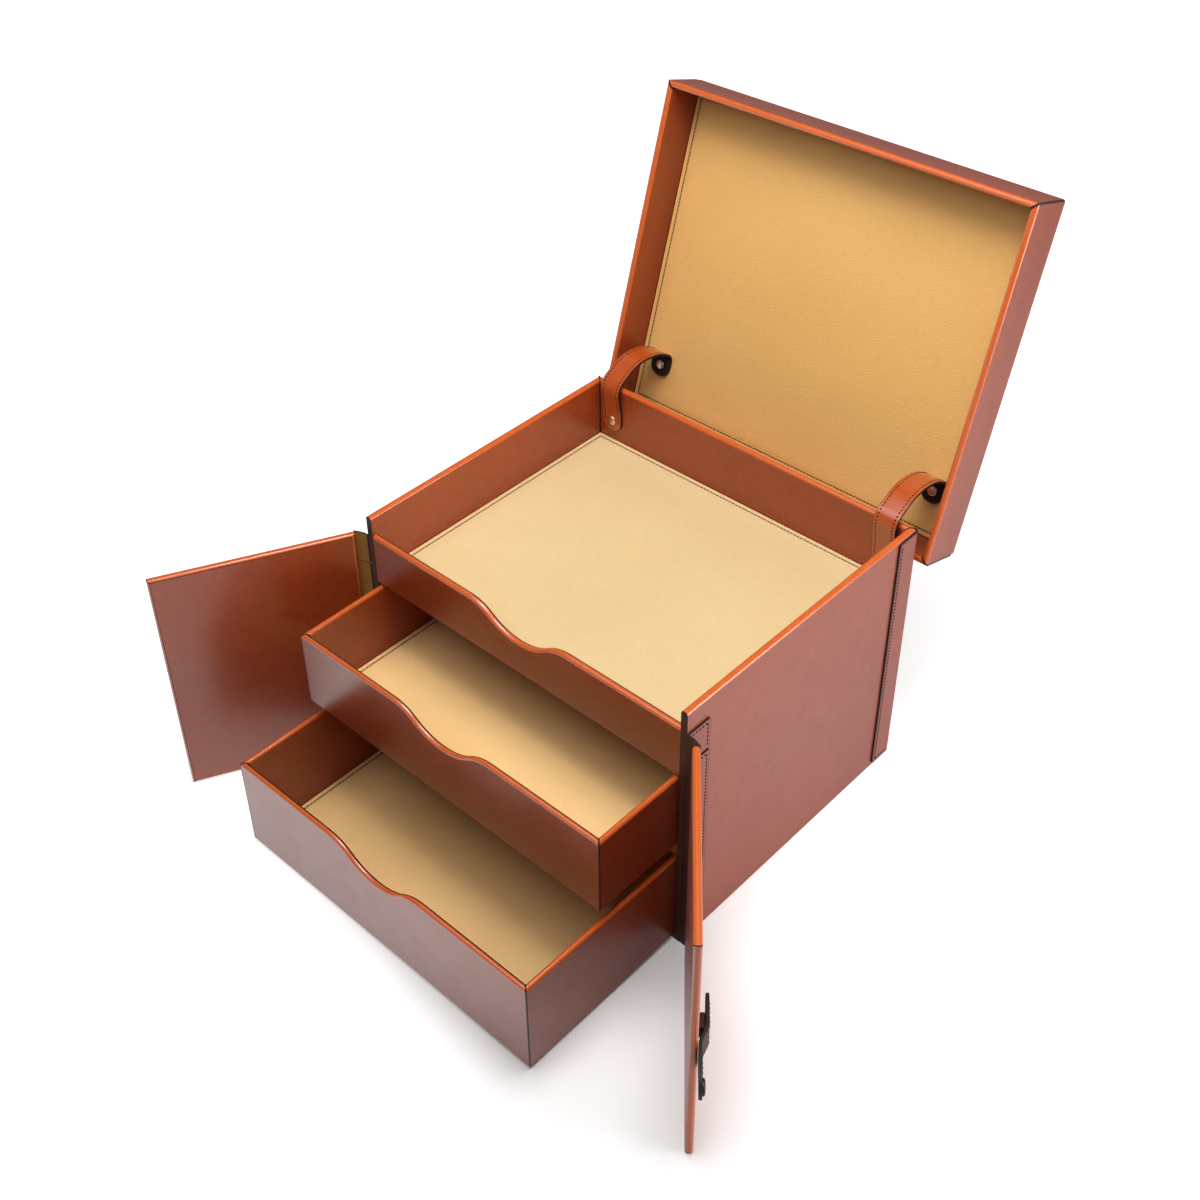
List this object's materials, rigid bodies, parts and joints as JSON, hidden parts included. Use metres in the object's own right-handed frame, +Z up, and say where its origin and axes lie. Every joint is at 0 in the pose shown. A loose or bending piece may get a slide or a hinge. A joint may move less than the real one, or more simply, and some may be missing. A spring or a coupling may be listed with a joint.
{
  "type": "leather stationery case",
  "caption": "Leather desk case with a hinged box lid over a lined tray, and a pair of strap-hinged doors in front of two lined drawers with scooped fronts.",
  "frame": {"origin": "centre of the case's footprint, on the ground", "axes": "+X to the case's right as seen from in front, +Y to the rear, +Z up"},
  "size_m": [0.5575, 0.5676, 0.483],
  "materials": {
    "leather": "smooth glossy cognac brown",
    "dark_leather": "dark brown, inked edges",
    "lining": "matt fine-grained beige",
    "fittings": "pale polished"
  },
  "bodies": {
    "case": {"case_floor": "leather", "front_rail": "leather", "left_corner_wrap": "leather", "left_hinge_leaf": "leather", "left_hinge_span": "leather", "left_hinge_tab": "leather", "left_hinge_tab_span": "leather", "left_runner": "leather", "left_stay": "leather", "left_wall": "leather", "lid_hinge_case_leaf": "leather", "lid_hinge_span": "leather", "rear_wall": "leather", "right_corner_wrap": "leather", "right_hinge_leaf": "leather", "right_hinge_span": "leather", "right_hinge_tab": "leather", "right_hinge_tab_span": "leather", "right_runner": "leather", "right_stay": "leather", "right_wall": "leather", "stay_case_rivets": "fittings", "tray_board": "leather", "tray_lining": "lining"},
    "lid": {"lid_panel": "leather", "lid_front_wall": "leather", "lid_rear_wall": "leather", "lid_left_wall": "leather", "lid_right_wall": "leather", "lid_lining": "lining", "lid_hinge_lid_leaf": "leather", "stay_lid_rivets": "fittings"},
    "left_door": {"left_door": "leather", "closure_stud": "fittings"},
    "right_door": {"right_door": "leather", "closure_keeper": "dark_leather", "closure_strap": "dark_leather", "closure_snap_cap": "fittings"},
    "middle_drawer": {"middle_drawer_front": "leather", "middle_drawer_left_side": "leather", "middle_drawer_right_side": "leather", "middle_drawer_rear": "leather", "middle_drawer_floor": "leather", "middle_drawer_lining": "lining"},
    "lower_drawer": {"lower_drawer_front": "leather", "lower_drawer_left_side": "leather", "lower_drawer_right_side": "leather", "lower_drawer_rear": "leather", "lower_drawer_floor": "leather", "lower_drawer_lining": "lining"}
  },
  "joints": [
    {"name": "lid_hinge", "type": "hinge", "parent": "case", "child": "lid", "pos_m": [0, 0.144, 0.204], "axis": [-1, 0, 0], "range_deg": [-107, 0], "deforming": ["left_stay", "right_stay", "lid_hinge_span"]},
    {"name": "left_door_swing", "type": "hinge", "parent": "case", "child": "left_door", "pos_m": [-0.1712, -0.1378, 0], "axis": [0, 0, 1], "range_deg": [-83, 30], "deforming": ["left_hinge_span", "left_hinge_tab_span"]},
    {"name": "right_door_swing", "type": "hinge", "parent": "case", "child": "right_door", "pos_m": [0.1712, -0.1378, 0], "axis": [0, 0, -1], "range_deg": [-70, 43], "deforming": ["right_hinge_span", "right_hinge_tab_span"]},
    {"name": "middle_drawer_slide", "type": "slide", "parent": "case", "child": "middle_drawer", "axis": [0, -1, 0], "range_m": [-0.0827, 0.117]},
    {"name": "lower_drawer_slide", "type": "slide", "parent": "case", "child": "lower_drawer", "axis": [0, -1, 0], "range_m": [-0.1576, 0.042]}
  ]
}
